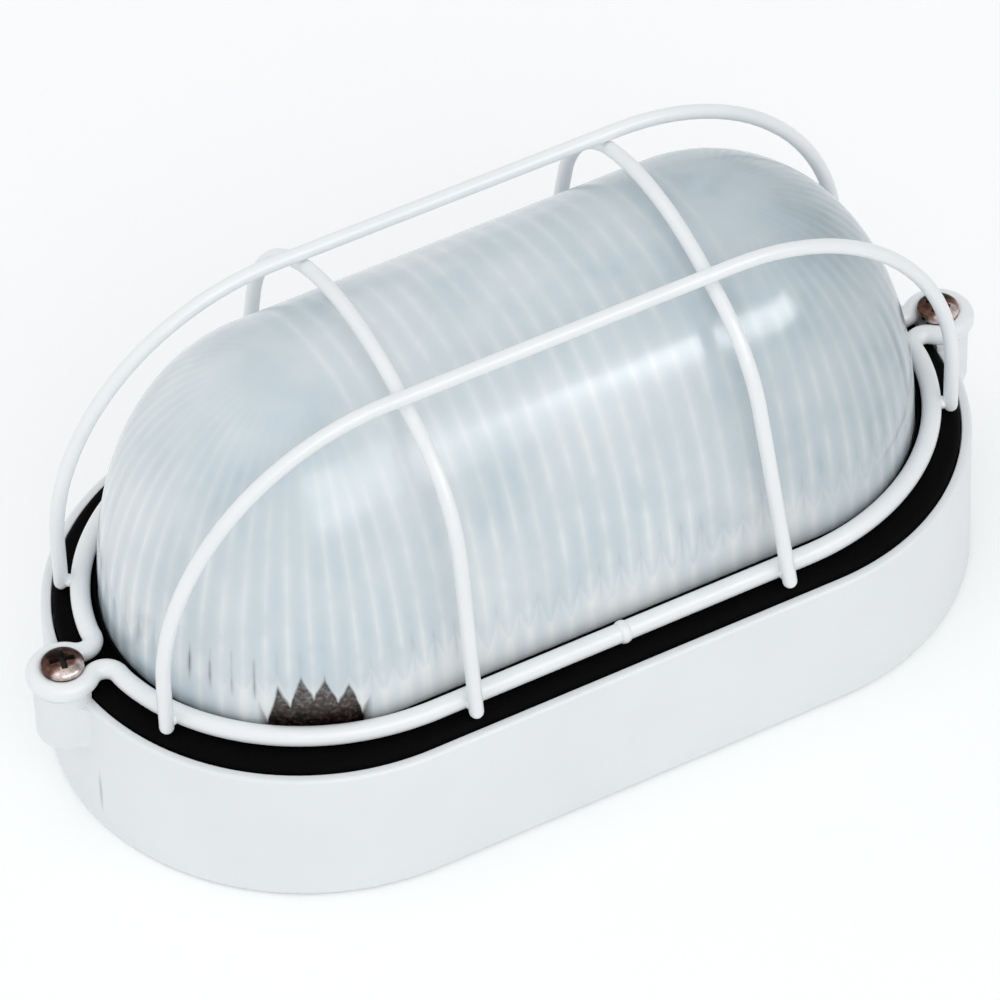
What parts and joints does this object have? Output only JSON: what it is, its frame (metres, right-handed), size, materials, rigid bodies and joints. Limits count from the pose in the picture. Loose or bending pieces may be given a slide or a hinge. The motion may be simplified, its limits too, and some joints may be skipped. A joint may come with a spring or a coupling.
{
  "type": "bulkhead wall lamp",
  "caption": "Oval bulkhead wall lamp: cast housing, ribbed glass dome in a rubber gasket, welded wire guard held by end screws, with lampholder, bulb and terminals inside.",
  "frame": {"origin": "centre of the housing's flat back face", "axes": "+X along the length, towards the end with the cable entry; +Y across the width; +Z out of the wall, through the glass"},
  "size_m": [0.215, 0.1068, 0.1003],
  "materials": {
    "white_paint": "smooth satin white paint on a casting",
    "white_coating": "white plastic-dipped steel wire, satin",
    "black_rubber": "matt moulded rubber",
    "satin_glass": "pressed glass, smooth outside and ribbed inside",
    "bronzed_steel": "dark bronze passivated steel, semi-gloss",
    "zinc_plated_steel": "bright zinc plate",
    "brass": "plain drawn brass",
    "black_phenolic": "moulded phenolic, semi-gloss",
    "frosted_bulb": "frosted bulb glass with a metal cap",
    "brown_insulation": "brown lead sleeve",
    "blue_insulation": "blue lead sleeve"
  },
  "bodies": {
    "root": {"bracket_screw_far": "zinc_plated_steel", "bracket_screw_near": "zinc_plated_steel", "bulb": "frosted_bulb", "cable_grommet": "black_rubber", "clamp_screw_line_inlet": "zinc_plated_steel", "clamp_screw_line_outlet": "zinc_plated_steel", "clamp_screw_neutral_inlet": "zinc_plated_steel", "clamp_screw_neutral_outlet": "zinc_plated_steel", "cover_screw_left": "bronzed_steel", "cover_screw_right": "bronzed_steel", "cross_bow_left": "white_coating", "cross_bow_right": "white_coating", "earth_screw": "zinc_plated_steel", "earth_washer": "brass", "gasket": "black_rubber", "glass": "satin_glass", "guard_ring": "white_coating", "housing": "white_paint", "lampholder_body": "black_phenolic", "lampholder_bracket": "zinc_plated_steel", "lampholder_contact": "brass", "lampholder_nut": "zinc_plated_steel", "lampholder_shell": "brass", "lead_line": "brown_insulation", "lead_neutral": "blue_insulation", "long_bow_far": "white_coating", "long_bow_near": "white_coating", "terminal_block": "black_phenolic", "terminal_block_screw": "zinc_plated_steel", "terminal_line": "brass", "terminal_neutral": "brass"}
  },
  "joints": []
}
